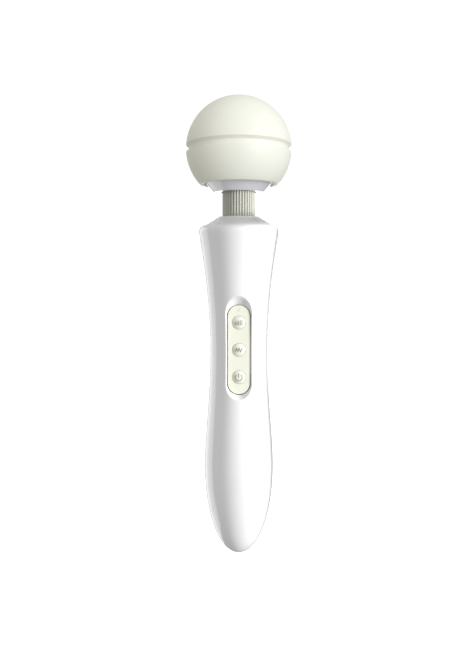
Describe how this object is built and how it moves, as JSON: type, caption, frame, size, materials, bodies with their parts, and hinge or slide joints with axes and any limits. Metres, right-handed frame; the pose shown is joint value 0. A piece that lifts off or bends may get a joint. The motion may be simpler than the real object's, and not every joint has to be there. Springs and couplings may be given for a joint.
{
  "type": "handheld wand massager",
  "caption": "Cordless wand massager with a grooved soft ball head on a ribbed flexible neck, a waisted glossy handle, a recessed panel of domed buttons and a charging pad at the back.",
  "frame": {"origin": "on the wand's axis at the waist of the handle, where the hand closes round it", "axes": "+Z along the wand towards the massaging head; -Y out of the button panel; +Y out of the charging pad"},
  "size_m": [0.0642, 0.0642, 0.2776],
  "materials": {
    "case_white": "high-gloss moulded white plastic",
    "inner_white": "fine-textured moulded white plastic",
    "silicone_ivory": "soft-touch satin ivory silicone",
    "panel_ivory": "satin ivory with raised key symbols",
    "clear_lens": "clear light pipe, faintly pink",
    "screw_steel": "bright zinc",
    "motor_steel": "nickel-plated drawn steel",
    "dark_steel": "sintered, dark",
    "bronze": "sintered bronze",
    "gold_contact": "gold flash, polished",
    "winding_copper": "enamelled copper wire",
    "board_green": "solder mask",
    "black_plastic": "moulded black",
    "cell_wrap": "shrink-wrapped, satin",
    "red_wire": "satin insulation",
    "black_wire": "satin insulation"
  },
  "bodies": {
    "handle": {"handle_shell_front": "case_white", "handle_shell_rear": "case_white", "case_screw_upper_left": "screw_steel", "case_screw_upper_right": "screw_steel", "case_screw_lower": "screw_steel", "screw_plug_upper_left": "case_white", "screw_plug_upper_right": "case_white", "screw_plug_lower": "case_white", "neck_clamp_lower": "inner_white", "button_panel": "panel_ivory", "led_light_pipe": "clear_lens", "status_led": "clear_lens", "circuit_board": "board_green", "board_screw_1": "screw_steel", "board_screw_2": "screw_steel", "intensity_switch": "black_plastic", "mode_switch": "black_plastic", "power_switch": "black_plastic", "control_chip": "black_plastic", "motor_connector": "inner_white", "battery_connector": "inner_white", "battery_cell": "cell_wrap", "battery_cradle": "inner_white", "battery_tab_positive": "screw_steel", "battery_tab_negative": "screw_steel", "battery_lead_positive": "red_wire", "battery_lead_negative": "black_wire", "charge_pad": "inner_white", "charge_contact_positive": "gold_contact", "charge_contact_negative": "gold_contact", "charge_magnet": "dark_steel", "charge_lead_positive": "red_wire", "charge_lead_negative": "black_wire"},
    "neck": {"neck_sleeve": "silicone_ivory", "neck_spring": "screw_steel", "motor_lead_positive": "red_wire", "motor_lead_negative": "black_wire"},
    "head": {"neck_clamp_upper": "inner_white", "head_cover": "silicone_ivory", "head_shell_lower": "case_white", "head_shell_upper": "inner_white", "motor_can": "motor_steel", "motor_end_cap": "black_plastic", "motor_bush": "bronze", "motor_magnet_left": "dark_steel", "motor_magnet_right": "dark_steel", "motor_cradle": "inner_white", "cradle_screw_1": "screw_steel", "cradle_screw_2": "screw_steel", "cradle_screw_3": "screw_steel"},
    "rotor": {"motor_shaft": "motor_steel", "armature": "winding_copper", "commutator": "winding_copper", "eccentric_weight": "dark_steel"},
    "intensity_key": {"intensity_button": "panel_ivory", "intensity_plunger": "black_plastic"},
    "mode_key": {"mode_button": "panel_ivory", "mode_plunger": "black_plastic"},
    "power_key": {"power_button": "panel_ivory", "power_plunger": "black_plastic"}
  },
  "joints": [
    {"name": "neck_pitch", "type": "hinge", "parent": "handle", "child": "neck", "pos_m": [0, 0, 0.086], "axis": [1, 0, 0], "range_deg": [-15, 15], "stiffness_Nm_per_rad": 1.2, "deforming": ["neck_sleeve", "neck_spring", "motor_lead_positive", "motor_lead_negative"]},
    {"name": "neck_roll", "type": "hinge", "parent": "neck", "child": "head", "pos_m": [0, 0, 0.094], "axis": [0, 1, 0], "range_deg": [-15, 15], "stiffness_Nm_per_rad": 1.2},
    {"name": "motor_spin", "type": "hinge", "parent": "head", "child": "rotor", "pos_m": [0, 0, 0.124], "axis": [0, 0, 1], "continuous": true},
    {"name": "intensity_press", "type": "slide", "parent": "handle", "child": "intensity_key", "axis": [0, 1, 0], "range_m": [0, 0.0005], "stiffness_N_per_m": 1200},
    {"name": "mode_press", "type": "slide", "parent": "handle", "child": "mode_key", "axis": [0, 1, 0], "range_m": [0, 0.0005], "stiffness_N_per_m": 1200},
    {"name": "power_press", "type": "slide", "parent": "handle", "child": "power_key", "axis": [0, 1, 0], "range_m": [0, 0.0005], "stiffness_N_per_m": 1200}
  ]
}
